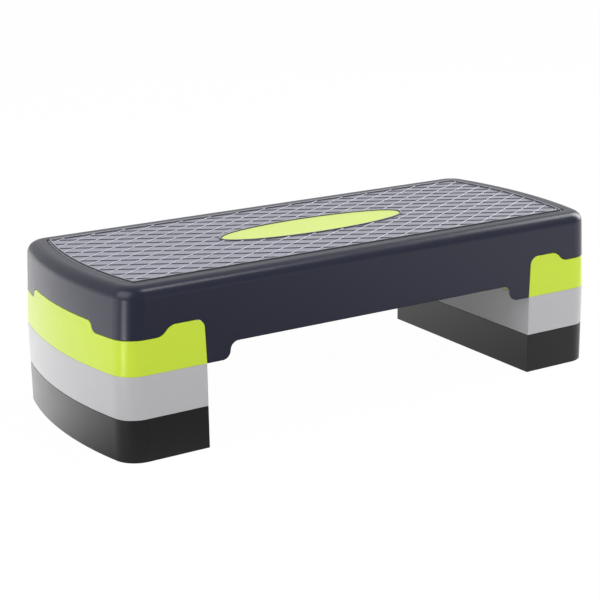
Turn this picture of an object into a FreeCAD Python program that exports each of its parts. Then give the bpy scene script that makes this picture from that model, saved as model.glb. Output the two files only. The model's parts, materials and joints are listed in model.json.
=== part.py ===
"""Aerobic step platform: a deck on two fixed legs, with two levels of lift-off risers under each leg.

Frame: origin on the floor under the middle of the platform, +X along its length, +Z up, millimetres.
The right half (+X) of every paired piece is drawn, and the left one is its mirror image.
"""
import FreeCAD, Part
import math
import os
import re

import Sketcher

SIZES = {
    # plan of the platform, shared by the deck, the legs and the risers
    "platform_length": 700.0,
    "platform_width": 285.0,
    "end_radius": 525.0,
    "corner_radius": 30.0,
    "end_lean": 5.5,
    "leg_length": 118.6,
    # heights: the deck on its own legs, and what each riser adds
    "level_height": 100.0,
    "riser_height": 50.0,
    "foot_proud": 0.6,
    # deck shell
    "deck_wall": 3.5,
    "deck_roof": 3.5,
    "deck_edge_round": 14.0,
    "round_limit_share": 0.9,
    "deck_rib_thick": 2.4,
    "leg_rib_end": 44.0,
    "leg_rib_row": 55.0,
    "roof_rib_depth": 9.0,
    "roof_rib_in": 36.0,
    "roof_rib_count": 8,
    "long_rib_side": 48.0,
    "long_rib_count": 5,
    # parting line between the deck and the legs
    "parting_gap": 0.8,
    "skirt_rise": 20.0,
    "skirt_foot_width": 19.0,
    "skirt_foot_run": 21.0,
    "tab_rise": 52.4,
    "tab_drop": 12.0,
    "tab_lean": 1.8,
    "tab_corner": 11.0,
    "tab_clear": 1.0,
    "front_tab_flat": 36.4,
    "front_tab_run": 24.8,
    "end_tab_flat": 146.0,
    "end_tab_run": 16.0,
    # tread mat and the badge plate in its middle
    "mat_inset": 24.0,
    "mat_corner": 6.0,
    "mat_gap": 1.0,
    "mat_recess": 3.0,
    "mat_proud": 0.5,
    "badge_length": 258.0,
    "badge_width": 69.0,
    "badge_gap": 0.8,
    "badge_sink": 0.3,
    "badge_edge_round": 0.8,
    "badge_peg_diameter": 5.0,
    "badge_peg_length": 9.0,
    "badge_peg_span": 150.0,
    "badge_peg_clear": 0.1,
    # walls and ribs of the legs and the risers
    "riser_wall": 3.0,
    "riser_plate": 3.0,
    "riser_edge_round": 0.6,
    "riser_rib_thick": 2.0,
    "riser_rib_rise": 2.0,
    "riser_rib_in": 38.0,
    "riser_rib_step": 46.0,
    "riser_rib_row": 48.0,
    # pegs of a riser and the sockets above them
    "peg_diameter": 18.0,
    "peg_wall": 2.5,
    "peg_height": 12.0,
    "peg_clear": 0.3,
    "peg_in": 18.0,
    "peg_row": 56.0,
    "peg_side": 44.0,
    "socket_wall": 3.0,
    # push-in rubber feet, their bosses and the dimples that take them on the riser below
    "foot_diameter": 14.0,
    "foot_seat": 2.4,
    "foot_chamfer": 0.4,
    "foot_stem_diameter": 6.0,
    "foot_stem_length": 7.0,
    "foot_clear": 0.15,
    "foot_in": 15.0,
    "foot_row": 70.0,
    "foot_side": 17.0,
    "foot_boss_wall": 2.4,
    "dimple_clear": 0.6,
    "dimple_spare": 0.4,
    # screws between each leg and the deck
    "screw_diameter": 4.0,
    "screw_length": 18.0,
    "screw_head_diameter": 8.0,
    "screw_head_height": 2.8,
    "screw_slot_width": 1.2,
    "screw_slot_depth": 1.2,
    "screw_clear": 0.3,
    "screw_grip_clear": 0.1,
    "screw_boss_wall": 3.0,
    "screw_in": 18.0,
    "screw_row": 56.0,
    "screw_side": 84.0,
    # how far a cut runs past what it cuts, and how near two places count as one
    "cut_overrun": 10.0,
    "match_near": 0.01,
}

# heights above the floor
LOWER_RIM = "foot_proud"
UPPER_RIM = "(foot_proud + riser_height)"
LEG_RIM = "(foot_proud + 2 * riser_height)"
LEG_PLATE = f"({LEG_RIM} + tab_rise - tab_drop)"
TAB_TOP = f"({LEG_RIM} + tab_rise)"
SKIRT = f"({LEG_RIM} + skirt_rise)"
MAT_TOP = "(2 * riser_height + level_height)"
DECK_TOP = f"({MAT_TOP} - mat_proud)"
MAT_FLOOR = f"({DECK_TOP} - mat_recess)"
CEILING = f"({MAT_FLOOR} - deck_roof)"
BELOW = f"({LEG_RIM} - cut_overrun)"

# places along the platform
HALF_LENGTH = "(platform_length / 2)"
HALF_WIDTH = "(platform_width / 2)"
INNER = "(platform_length / 2 - leg_length)"
BOW_CENTRE = "(platform_length / 2 - end_radius)"
BEYOND = "(platform_length / 2 + cut_overrun)"
TAB_END = f"({INNER} + front_tab_flat)"
LOBE_START = f"({TAB_END} + front_tab_run)"
END_TAB = "(end_tab_flat / 2)"
END_LOBE = "(end_tab_flat / 2 + end_tab_run)"
SOCKET_DIAMETER = "(peg_diameter + 2 * peg_clear)"
DIMPLE_DIAMETER = "(foot_diameter + 2 * dimple_clear)"

# the deck's rounded top edge can't be larger than its corners allow
TOP_ROUND = "min(deck_edge_round; round_limit_share * corner_radius)"

doc = FreeCAD.newDocument("StepPlatform")
sheet = doc.addObject("Spreadsheet::Sheet", "Sizes")
for row, (name, value) in enumerate(SIZES.items(), 1):
    sheet.set(f"A{row}", name)
    sheet.set(f"B{row}", str(value))
    sheet.setAlias(f"B{row}", name)
doc.recompute()


def lean_at(height):
    """How far the deck and its legs lean in at each end, at a height between the leg's rim and the top."""
    return f"(end_lean * ({height} - {LEG_RIM}) / ({DECK_TOP} - {LEG_RIM}))"


def cells(text):
    """Turn every size's name in an expression into a reference to its cell."""
    return re.sub(r"[a-z]+(?:_[a-z]+)+", lambda word: "Sizes." + word.group(0), text)


def size(text):
    """The present value of an expression."""
    return float(sheet.evalExpression(cells(text)))


def new_body(name):
    body = doc.addObject("PartDesign::Body", name)
    body.Label = name
    return body


def origin_plane(body, role):
    return next(feature for feature in body.Origin.OriginFeatures if feature.Role == role)


def new_sketch(body, name, role="XY_Plane", offset="0"):
    """A sketch on one of the body's own origin planes, moved along that plane's normal."""
    sketch = body.newObject("Sketcher::SketchObject", f"{body.Label}_{name}")
    sketch.AttachmentSupport = [(origin_plane(body, role), "")]
    sketch.MapMode = "FlatFace"
    sketch.setExpression(".AttachmentOffset.Base.z", cells(offset))
    return sketch


def hold(sketch, text, *constraint):
    """Add a constraint whose size is bound to an expression."""
    index = sketch.addConstraint(Sketcher.Constraint(*constraint, size(text)))
    sketch.setExpression(f"Constraints[{index}]", cells(text))


def pin_point(sketch, geometry, end, across, up):
    """Fix one point of a sketch at a place given by two expressions."""
    hold(sketch, across, "DistanceX", -1, 1, geometry, end)
    hold(sketch, up, "DistanceY", -1, 1, geometry, end)


def arc_between(centre, start, finish):
    """The short arc from start to finish, and the end numbers that those two points get."""
    first = math.atan2(start.y - centre.y, start.x - centre.x)
    last = math.atan2(finish.y - centre.y, finish.x - centre.x)
    circle = Part.Circle(centre, FreeCAD.Vector(0, 0, 1), centre.distanceToPoint(start))
    if math.sin(last - first) > 0:
        return Part.ArcOfCircle(circle, first, last), 1, 2
    return Part.ArcOfCircle(circle, last, first), 2, 1


def trace(sketch, corners):
    """Draw one closed outline. A corner is (across, up) or (across, up, kind), where kind shapes the
    stretch to the next corner: "ess" is two equal arcs, level at both ends, "over" is a quarter turn
    that starts upright and ends level, and "under" one that starts level and ends upright."""
    points = [FreeCAD.Vector(size(corner[0]), size(corner[1]), 0) for corner in corners]
    ends = []
    for index, corner in enumerate(corners):
        start = points[index]
        finish = points[(index + 1) % len(points)]
        kind = corner[2] if len(corner) > 2 else "line"
        if kind == "line":
            line = sketch.addGeometry(Part.LineSegment(start, finish))
            ends.append(((line, 1), (line, 2)))
        elif kind == "ess":
            rise = finish.y - start.y
            radius = ((finish.x - start.x) ** 2 + rise ** 2) / (4 * rise)
            middle = (start + finish) / 2
            first, near, join = arc_between(start + FreeCAD.Vector(0, radius, 0), start, middle)
            last, meet, far = arc_between(finish - FreeCAD.Vector(0, radius, 0), middle, finish)
            first = sketch.addGeometry(first)
            last = sketch.addGeometry(last)
            sketch.addConstraint(Sketcher.Constraint("Tangent", first, join, last, meet))
            sketch.addConstraint(Sketcher.Constraint("Equal", first, last))
            sketch.addConstraint(Sketcher.Constraint("Vertical", first, 3, first, near))
            sketch.addConstraint(Sketcher.Constraint("Vertical", last, 3, last, far))
            ends.append(((first, near), (last, far)))
        else:
            centre = FreeCAD.Vector(start.x, finish.y, 0)
            if kind == "over":
                centre = FreeCAD.Vector(finish.x, start.y, 0)
            arc, near, far = arc_between(centre, start, finish)
            arc = sketch.addGeometry(arc)
            level_end = far if kind == "over" else near
            sketch.addConstraint(Sketcher.Constraint("Vertical", arc, 3, arc, level_end))
            ends.append(((arc, near), (arc, far)))
    for index, corner in enumerate(corners):
        before = ends[index - 1][1]
        after = ends[index][0]
        sketch.addConstraint(Sketcher.Constraint("Coincident", *before, *after))
        pin_point(sketch, *after, corner[0], corner[1])


def rectangle(sketch, left, right, low, high):
    trace(sketch, [(left, low), (right, low), (right, high), (left, high)])


def circles(sketch, places, diameter):
    """Equal circles at the given places."""
    for across, up in places:
        centre = FreeCAD.Vector(size(across), size(up), 0)
        shape = Part.Circle(centre, FreeCAD.Vector(0, 0, 1), size(diameter) / 2)
        circle = sketch.addGeometry(shape)
        pin_point(sketch, circle, 3, across, up)
        hold(sketch, diameter, "Diameter", circle)


def ellipse(sketch, length, width):
    """An ellipse centred on the origin, its long axis across the sketch."""
    long_end = FreeCAD.Vector(size(length) / 2, 0, 0)
    short_end = FreeCAD.Vector(0, size(width) / 2, 0)
    oval = sketch.addGeometry(Part.Ellipse(long_end, short_end, FreeCAD.Vector(0, 0, 0)))
    sketch.exposeInternalGeometry(oval)
    long_axis = oval + 1
    short_axis = oval + 2
    sketch.addConstraint(Sketcher.Constraint("Coincident", oval, 3, -1, 1))
    sketch.addConstraint(Sketcher.Constraint("Horizontal", long_axis))
    hold(sketch, length, "Distance", long_axis)
    hold(sketch, width, "Distance", short_axis)


def plan_outline(sketch, inset="0", inner=None, corner=None, lean="0"):
    """The platform's plan, moved inwards by inset and shortened at each end by lean: whole, or the right
    end from a straight inner side."""
    half = f"({HALF_WIDTH} - {inset})"
    bow = f"(end_radius - {inset})"
    bow_centre = f"({BOW_CENTRE} - {lean})"
    corner = corner or f"(corner_radius - {inset})"
    sides = (1,) if inner else (1, -1)
    half_now = size(half)
    corner_up = half_now - size(corner)
    reach = size(bow) - size(corner)
    sweep = math.asin(corner_up / reach)
    bow_across = size(bow_centre)
    corner_across = bow_across + reach * math.cos(sweep)
    normal = FreeCAD.Vector(0, 0, 1)
    left = size(inner) if inner else -corner_across

    def arc(across, up, radius, start, finish):
        circle = Part.Circle(FreeCAD.Vector(across, up, 0), normal, radius)
        return sketch.addGeometry(Part.ArcOfCircle(circle, start, finish))

    front = sketch.addGeometry(Part.LineSegment(
        FreeCAD.Vector(left, -half_now, 0), FreeCAD.Vector(corner_across, -half_now, 0)))
    chain = [front]
    bows = []
    corners = []
    back = None
    for side in sides:
        turn = 0 if side > 0 else math.pi
        across = side * corner_across
        near = arc(across, -side * corner_up, size(corner), turn - math.pi / 2, turn - sweep)
        bowed = arc(side * bow_across, 0, size(bow), turn - sweep, turn + sweep)
        far = arc(across, side * corner_up, size(corner), turn + sweep, turn + math.pi / 2)
        chain += [near, bowed, far]
        bows.append(bowed)
        corners += [near, far]
        if side > 0:
            back = sketch.addGeometry(Part.LineSegment(
                FreeCAD.Vector(corner_across, half_now, 0), FreeCAD.Vector(left, half_now, 0)))
            chain.append(back)
    for first, last in zip(chain, chain[1:]):
        sketch.addConstraint(Sketcher.Constraint("Tangent", first, 2, last, 1))
    if inner:
        side_line = sketch.addGeometry(Part.LineSegment(
            FreeCAD.Vector(left, half_now, 0), FreeCAD.Vector(left, -half_now, 0)))
        sketch.addConstraint(Sketcher.Constraint("Coincident", back, 2, side_line, 1))
        sketch.addConstraint(Sketcher.Constraint("Coincident", side_line, 2, front, 1))
        sketch.addConstraint(Sketcher.Constraint("Vertical", side_line))
        hold(sketch, inner, "DistanceX", -1, 1, side_line, 1)
    else:
        sketch.addConstraint(Sketcher.Constraint("Tangent", chain[-1], 2, front, 1))
    sketch.addConstraint(Sketcher.Constraint("Horizontal", front))
    sketch.addConstraint(Sketcher.Constraint("Horizontal", back))
    hold(sketch, half, "DistanceY", front, 1, -1, 1)
    hold(sketch, half, "DistanceY", -1, 1, back, 1)
    for bowed, side in zip(bows, sides):
        sketch.addConstraint(Sketcher.Constraint("PointOnObject", bowed, 3, -1))
        hold(sketch, f"{side} * {bow_centre}", "DistanceX", -1, 1, bowed, 3)
        hold(sketch, bow, "Radius", bowed)
    for rounded in corners:
        hold(sketch, corner, "Radius", rounded)


def check(feature):
    """Stop where a feature failed."""
    doc.recompute()
    if "Invalid" in feature.State or "Error" in feature.State:
        raise RuntimeError(f"{feature.Label} failed: {feature.State}")
    return feature


def pad(body, sketch, length, reverse=False, middle=False):
    feature = body.newObject("PartDesign::Pad", f"{sketch.Label}_pad")
    feature.Profile = sketch
    feature.setExpression("Length", cells(length))
    feature.Midplane = middle
    feature.Reversed = reverse
    return check(feature)


def leaning_pad(body, sketch, height, lean):
    """A pad that leans back along X by lean over its height."""
    feature = body.newObject("PartDesign::Pad", f"{sketch.Label}_pad")
    feature.Profile = sketch
    feature.UseCustomVector = True
    feature.AlongSketchNormal = True
    feature.Direction = FreeCAD.Vector(0, 0, 1)
    feature.setExpression("Direction.x", cells(f"-{lean}"))
    feature.setExpression("Direction.z", cells(height))
    feature.setExpression("Length", cells(height))
    return check(feature)


def pocket(body, sketch, depth, reverse=False, middle=False):
    before = body.Shape.Volume
    feature = body.newObject("PartDesign::Pocket", f"{sketch.Label}_cut")
    feature.Profile = sketch
    feature.setExpression("Length", cells(depth))
    feature.Midplane = middle
    feature.Reversed = reverse
    check(feature)
    if feature.Shape.Volume >= before:
        raise RuntimeError(f"{feature.Label} cuts nothing")
    return feature


def round_edges(body, name, edges, radius):
    base = body.Tip
    feature = body.newObject("PartDesign::Fillet", f"{body.Label}_{name}")
    feature.Base = (base, edges)
    feature.setExpression("Radius", cells(radius))
    return check(feature)


def mirror(body, name, originals, role):
    """Repeat features on the other side of one of the body's planes."""
    feature = body.newObject("PartDesign::Mirrored", f"{body.Label}_{name}")
    feature.Originals = originals
    feature.MirrorPlane = (origin_plane(body, role), [""])
    body.Tip = feature
    return check(feature)


def row_of(body, original, axis_role, length, count):
    """Repeat a feature along one of the body's axes."""
    feature = body.newObject("PartDesign::LinearPattern", f"{original.Label}_row")
    feature.Originals = [original]
    feature.Direction = (origin_plane(body, axis_role), [""])
    feature.setExpression("Length", cells(length))
    feature.setExpression("Occurrences", cells(count))
    body.Tip = feature
    return check(feature)


def level_edges(shape, height):
    """Names of the edges that lie wholly at one height."""
    level = size(height)
    near = size("match_near")
    names = []
    for index, edge in enumerate(shape.Edges, 1):
        middle = edge.valueAt((edge.FirstParameter + edge.LastParameter) / 2)
        heights = [vertex.Z for vertex in edge.Vertexes] + [middle.z]
        if all(abs(value - level) < near for value in heights):
            names.append(f"Edge{index}")
    return names


def depth_edges(shape, across, height):
    """Names of the edges that run straight along Y at one distance from the middle and one height."""
    near = size("match_near")
    names = []
    for index, edge in enumerate(shape.Edges, 1):
        places = [vertex.Point for vertex in edge.Vertexes]
        if all(abs(abs(place.x) - size(across)) < near and abs(place.z - size(height)) < near
               for place in places):
            names.append(f"Edge{index}")
    return names


def grid(inward, row, side):
    """Four places on a leg: two rows counted from its inner face, each as far in from front and back."""
    return [(f"({INNER} + {inward} + {step} * {row})", f"({sign} * ({HALF_WIDTH} - {side}))")
            for step in (0, 1) for sign in (-1, 1)]


PEGS = grid("peg_in", "peg_row", "peg_side")
FEET = grid("foot_in", "foot_row", "foot_side")
SCREWS = grid("screw_in", "screw_row", "screw_side")


def make_deck():
    """The moulded shell: rounded roof, skirts with four small feet, openings for the legs, ribs, bosses."""
    body = new_body("deck")
    block = new_sketch(body, "plan", offset=LEG_RIM)
    plan_outline(block, inner="-cut_overrun")
    half = leaning_pad(body, block, f"({DECK_TOP} - {LEG_RIM})", "end_lean")
    mirror(body, "other_half", [half], "YZ_Plane")
    hollow = new_sketch(body, "hollow", offset=LEG_RIM)
    plan_outline(hollow, inset="deck_wall", lean=lean_at(CEILING))
    pocket(body, hollow, f"{CEILING} - {LEG_RIM}", reverse=True)
    round_edges(body, "ceiling_round", level_edges(body.Shape, CEILING), f"{TOP_ROUND} - deck_wall")
    round_edges(body, "top_round", level_edges(body.Shape, DECK_TOP), TOP_ROUND)

    opening = new_sketch(body, "leg_opening", "XZ_Plane")
    trace(opening, [
        (f"{INNER} - parting_gap", BELOW),
        (BEYOND, BELOW),
        (BEYOND, f"{LEG_PLATE} + parting_gap"),
        (f"{LOBE_START} + parting_gap / 2", f"{LEG_PLATE} + parting_gap", "ess"),
        (f"{TAB_END} + parting_gap / 2", f"{TAB_TOP} + parting_gap"),
        (f"{INNER} + tab_lean - parting_gap", f"{TAB_TOP} + parting_gap"),
        (f"{INNER} - parting_gap", LEG_RIM),
    ])
    leg_cut = pocket(body, opening, "platform_width + 2 * cut_overrun", middle=True)
    arch = new_sketch(body, "skirt_arch", "XZ_Plane")
    foot = f"({INNER} - parting_gap - skirt_foot_width)"
    trace(arch, [
        ("0", BELOW),
        (foot, BELOW),
        (foot, LEG_RIM, "ess"),
        (f"{foot} - skirt_foot_run", SKIRT),
        ("0", SKIRT),
    ])
    arch_cut = pocket(body, arch, "platform_width + 2 * cut_overrun", middle=True)
    mirror(body, "other_end", [leg_cut, arch_cut], "YZ_Plane")
    end = new_sketch(body, "end_opening", "YZ_Plane")
    flat = f"({END_TAB} + parting_gap / 2)"
    lobe = f"({END_LOBE} + parting_gap / 2)"
    trace(end, [
        (f"-{lobe}", BELOW),
        (lobe, BELOW),
        (lobe, f"{LEG_PLATE} + parting_gap", "ess"),
        (flat, f"{TAB_TOP} + parting_gap"),
        (f"-{flat}", f"{TAB_TOP} + parting_gap", "ess"),
        (f"-{lobe}", f"{LEG_PLATE} + parting_gap"),
    ])
    pocket(body, end, "platform_length + 2 * cut_overrun", middle=True)
    corners = depth_edges(body.Shape, f"{INNER} + tab_lean - parting_gap", f"{TAB_TOP} + parting_gap")
    round_edges(body, "opening_round", corners, "tab_corner + 5 * parting_gap / 2")

    # deep ribs bear on each leg's plate, clear of its tabs, and shallow ones stiffen the roof
    wall = f"({HALF_WIDTH} - deck_wall / 2)"
    clear = f"({HALF_WIDTH} - riser_wall - tab_clear)"
    step = f"({TAB_TOP} + parting_gap + tab_clear)"
    top = f"({CEILING} + deck_roof / 2)"
    round_low = f"({top} - {TOP_ROUND} + deck_wall / 2)"
    round_in = f"({wall} - {TOP_ROUND} + deck_wall / 2)"
    over_roof = [
        (wall, round_low, "over"),
        (round_in, top),
        (f"-{round_in}", top, "under"),
        (f"-{wall}", round_low),
    ]
    deep_ribs = []
    for row in (0, 1):
        place = f"{HALF_LENGTH} - leg_rib_end - {row} * leg_rib_row"
        ribs = new_sketch(body, f"leg_rib_{row}", "YZ_Plane", place)
        trace(ribs, [(f"-{clear}", LEG_PLATE), (clear, LEG_PLATE), (clear, step), (wall, step)]
              + over_roof + [(f"-{wall}", step), (f"-{clear}", step)])
        deep_ribs.append(pad(body, ribs, "deck_rib_thick", middle=True))
    mirror(body, "other_leg_ribs", deep_ribs, "YZ_Plane")
    rib_low = f"({CEILING} - roof_rib_depth)"
    rib_side = f"({round_in} + deck_rib_thick)"
    last_rib = f"({INNER} - roof_rib_in)"
    ribs = new_sketch(body, "roof_rib", "YZ_Plane", f"-{last_rib}")
    rectangle(ribs, f"-{rib_side}", rib_side, rib_low, top)
    rib = pad(body, ribs, "deck_rib_thick", middle=True)
    row_of(body, rib, "X_Axis", f"2 * {last_rib}", "roof_rib_count")
    rib_end = f"({HALF_LENGTH} - leg_rib_end)"
    side_rib = f"({HALF_WIDTH} - long_rib_side)"
    lengthwise = new_sketch(body, "long_rib", offset=rib_low)
    rectangle(lengthwise, f"-{rib_end}", rib_end,
              f"-{side_rib} - deck_rib_thick / 2", f"-{side_rib} + deck_rib_thick / 2")
    rib = pad(body, lengthwise, f"{top} - {rib_low}")
    row_of(body, rib, "Y_Axis", f"2 * {side_rib}", "long_rib_count")

    bosses = new_sketch(body, "screw_bosses", offset=LEG_PLATE)
    bore = "(screw_diameter + 2 * screw_grip_clear)"
    circles(bosses, SCREWS, f"{bore} + 2 * screw_boss_wall")
    boss = pad(body, bosses, f"{top} - {LEG_PLATE}")
    mirror(body, "other_bosses", [boss], "YZ_Plane")
    bores = new_sketch(body, "screw_bores", offset=LEG_PLATE)
    circles(bores, SCREWS, bore)
    drilled = pocket(body, bores, "screw_length", reverse=True)
    mirror(body, "other_bores", [drilled], "YZ_Plane")

    recess = new_sketch(body, "mat_recess", offset=DECK_TOP)
    plan_outline(recess, "(mat_inset - mat_gap)", corner="(mat_corner + mat_gap)", lean="end_lean")
    pocket(body, recess, "mat_recess")
    holes = new_sketch(body, "badge_holes", offset=MAT_FLOOR)
    places = [(f"{side} * badge_peg_span / 2", "0") for side in (-1, 1)]
    circles(holes, places, "badge_peg_diameter + 2 * badge_peg_clear")
    pocket(body, holes, "deck_roof + cut_overrun")
    return body


def make_mat():
    """The anti-slip panel in the deck's recess, with an oval window for the badge plate."""
    body = new_body("tread_mat")
    sheet_plan = new_sketch(body, "plan", offset=MAT_FLOOR)
    plan_outline(sheet_plan, "mat_inset", corner="mat_corner", lean="end_lean")
    pad(body, sheet_plan, "mat_recess + mat_proud")
    window = new_sketch(body, "window", offset=MAT_TOP)
    ellipse(window, "badge_length + 2 * badge_gap", "badge_width + 2 * badge_gap")
    pocket(body, window, "mat_recess + mat_proud + cut_overrun")
    return body


def make_badge():
    """The bare oval plate in the mat's window, held by two pegs through the deck's roof."""
    body = new_body("badge_plate")
    oval = new_sketch(body, "oval", offset=MAT_FLOOR)
    ellipse(oval, "badge_length", "badge_width")
    pad(body, oval, "mat_recess + mat_proud - badge_sink")
    round_edges(body, "edge_round", level_edges(body.Shape, f"{MAT_TOP} - badge_sink"), "badge_edge_round")
    pegs = new_sketch(body, "pegs", offset=MAT_FLOOR)
    circles(pegs, [(f"{side} * badge_peg_span / 2", "0") for side in (-1, 1)], "badge_peg_diameter")
    pad(body, pegs, "badge_peg_length", reverse=True)
    return body


def fit_out(body, rim, plate, lean="0", socketed=True):
    """Hollow a block from below up to its plate, then add ribs, bosses for the feet and peg sockets."""
    roof = f"({plate} - riser_plate)"
    hollow = new_sketch(body, "hollow", offset=rim)
    plan_outline(hollow, inset="riser_wall", inner=f"({INNER} + riser_wall + tab_lean)", lean=lean)
    pocket(body, hollow, f"{roof} - {rim}", reverse=True)
    rib_low = f"({rim} + riser_rib_rise)"
    rib_high = f"({roof} + riser_plate / 2 - {rib_low})"
    ribs = new_sketch(body, "long_ribs", offset=rib_low)
    for row in (-2, -1, 0, 1, 2):
        middle = f"{row} * riser_rib_row"
        end = f"{BOW_CENTRE} - {lean} + sqrt((end_radius - riser_wall / 2)^2 - ({middle})^2)"
        rectangle(ribs, f"{INNER} + riser_wall / 2 + tab_lean", end,
                  f"{middle} - riser_rib_thick / 2", f"{middle} + riser_rib_thick / 2")
    pad(body, ribs, rib_high)
    for step in (0, 1):
        ribs = new_sketch(body, f"cross_rib_{step}", offset=rib_low)
        middle = f"({INNER} + riser_rib_in + {step} * riser_rib_step)"
        rectangle(ribs, f"{middle} - riser_rib_thick / 2", f"{middle} + riser_rib_thick / 2",
                  f"-({HALF_WIDTH} - riser_wall / 2)", f"{HALF_WIDTH} - riser_wall / 2")
        pad(body, ribs, rib_high)
    full = f"({roof} + riser_plate / 2 - {rim})"
    bosses = new_sketch(body, "foot_bosses", offset=rim)
    circles(bosses, FEET, "foot_diameter + 2 * foot_clear + 2 * foot_boss_wall")
    pad(body, bosses, full)
    if socketed:
        sockets = new_sketch(body, "sockets", offset=rim)
        circles(sockets, PEGS, f"{SOCKET_DIAMETER} + 2 * socket_wall")
        pad(body, sockets, full)
        bores = new_sketch(body, "socket_bores", offset=rim)
        circles(bores, PEGS, SOCKET_DIAMETER)
        pocket(body, bores, f"{roof} - {rim}", reverse=True)
    seats = new_sketch(body, "foot_seats", offset=rim)
    circles(seats, FEET, "foot_diameter + 2 * foot_clear")
    pocket(body, seats, "foot_seat", reverse=True)
    stems = new_sketch(body, "foot_stems", offset=rim)
    circles(stems, FEET, "foot_stem_diameter + 2 * foot_clear")
    pocket(body, stems, "foot_seat + foot_stem_length + foot_clear", reverse=True)


def make_riser(name, rim, socketed):
    """A lift-off riser: a hollow block with four hollow pegs and four foot dimples on top. The lowest
    one needs no sockets, because nothing goes under it."""
    top = f"({rim} + riser_height)"
    body = new_body(name)
    block = new_sketch(body, "plan", offset=rim)
    plan_outline(block, inner=INNER)
    pad(body, block, "riser_height")
    edges = level_edges(body.Shape, rim) + level_edges(body.Shape, top)
    round_edges(body, "edge_round", edges, "riser_edge_round")
    fit_out(body, rim, top, socketed=socketed)
    pegs = new_sketch(body, "pegs", offset=top)
    circles(pegs, PEGS, "peg_diameter")
    pad(body, pegs, "peg_height")
    peg_hollow = new_sketch(body, "peg_hollows", offset=f"{top} + peg_height")
    circles(peg_hollow, PEGS, "peg_diameter - 2 * peg_wall")
    pocket(body, peg_hollow, "peg_height")
    dimples = new_sketch(body, "dimples", offset=top)
    circles(dimples, FEET, DIMPLE_DIAMETER)
    pocket(body, dimples, "foot_proud + dimple_spare")
    return body


def make_leg(name):
    """A fixed leg: a hollow block whose thin tabs rise into the openings in the deck's walls."""
    body = new_body(name)
    block = new_sketch(body, "plan", offset=LEG_RIM)
    plan_outline(block, inner=INNER)
    leaning_pad(body, block, "tab_rise", lean_at(TAB_TOP))
    slant = new_sketch(body, "slant", "XZ_Plane")
    trace(slant, [
        (INNER, LEG_RIM),
        (f"{INNER} + tab_lean", TAB_TOP),
        (f"{INNER} - cut_overrun", TAB_TOP),
        (f"{INNER} - cut_overrun", LEG_RIM),
    ])
    pocket(body, slant, "platform_width + 2 * cut_overrun", middle=True)
    round_edges(body, "edge_round", level_edges(body.Shape, LEG_RIM), "riser_edge_round")
    crown = new_sketch(body, "crown", offset=TAB_TOP)
    plan_outline(crown, inset="riser_wall", inner=f"({INNER} - cut_overrun)", lean=lean_at(TAB_TOP))
    pocket(body, crown, "tab_drop")
    front = new_sketch(body, "front_lobe", "XZ_Plane", END_LOBE)
    trace(front, [
        (TAB_END, f"{TAB_TOP} + cut_overrun"),
        (TAB_END, TAB_TOP, "ess"),
        (LOBE_START, LEG_PLATE),
        (BEYOND, LEG_PLATE),
        (BEYOND, f"{TAB_TOP} + cut_overrun"),
    ])
    front_cut = pocket(body, front, f"{HALF_WIDTH} + cut_overrun - {END_LOBE}", reverse=True)
    end = new_sketch(body, "end_lobe", "YZ_Plane", LOBE_START)
    trace(end, [
        (END_TAB, f"{TAB_TOP} + cut_overrun"),
        (END_TAB, TAB_TOP, "ess"),
        (END_LOBE, LEG_PLATE),
        (f"{HALF_WIDTH} + cut_overrun", LEG_PLATE),
        (f"{HALF_WIDTH} + cut_overrun", f"{TAB_TOP} + cut_overrun"),
    ])
    end_cut = pocket(body, end, f"{BEYOND} - {LOBE_START}", reverse=True)
    mirror(body, "back_lobe", [front_cut, end_cut], "XZ_Plane")
    corners = depth_edges(body.Shape, f"{INNER} + tab_lean", TAB_TOP)
    round_edges(body, "tab_round", corners, "tab_corner")
    fit_out(body, LEG_RIM, LEG_PLATE, lean=lean_at(LEG_PLATE))
    holes = new_sketch(body, "screw_holes", offset=LEG_PLATE)
    circles(holes, SCREWS, "screw_diameter + 2 * screw_clear")
    pocket(body, holes, "riser_plate")
    return body


def make_screws(name):
    """Four pan-head screws, up through a leg's plate into the deck's bosses."""
    body = new_body(name)
    body.AllowCompound = True
    seat = f"({LEG_PLATE} - riser_plate)"
    heads = new_sketch(body, "heads", offset=seat)
    circles(heads, SCREWS, "screw_head_diameter")
    pad(body, heads, "screw_head_height", reverse=True)
    shanks = new_sketch(body, "shanks", offset=seat)
    circles(shanks, SCREWS, "screw_diameter")
    pad(body, shanks, "screw_length")
    slots = new_sketch(body, "slots", offset=f"{seat} - screw_head_height")
    for across, up in SCREWS:
        rectangle(slots, f"{across} - screw_head_diameter", f"{across} + screw_head_diameter",
                  f"{up} - screw_slot_width / 2", f"{up} + screw_slot_width / 2")
    pocket(body, slots, "screw_slot_depth", reverse=True)
    return body


def make_foot(name, rim, across, up):
    """One push-in rubber foot: a bevelled disc in its seat and a stem in the boss."""
    body = new_body(name)
    profile = new_sketch(body, "profile", "XZ_Plane")
    edge = "foot_diameter / 2"
    stem = "foot_stem_diameter / 2"
    trace(profile, [
        ("0", "-foot_proud"),
        (f"{edge} - foot_chamfer", "-foot_proud"),
        (edge, "foot_chamfer - foot_proud"),
        (edge, "foot_seat"),
        (stem, "foot_seat"),
        (stem, "foot_seat + foot_stem_length"),
        ("0", "foot_seat + foot_stem_length"),
    ])
    turned = body.newObject("PartDesign::Revolution", f"{name}_turned")
    turned.Profile = profile
    turned.ReferenceAxis = (profile, ["V_Axis"])
    body.setExpression(".Placement.Base.x", cells(across))
    body.setExpression(".Placement.Base.y", cells(up))
    body.setExpression(".Placement.Base.z", cells(rim))
    check(turned)
    return body


def mirrored_copy(source, name):
    """The left-hand twin of a right-hand piece."""
    twin = doc.addObject("Part::Mirroring", name)
    twin.Label = name
    twin.Source = source
    twin.Normal = FreeCAD.Vector(1, 0, 0)
    return check(twin)


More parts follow.
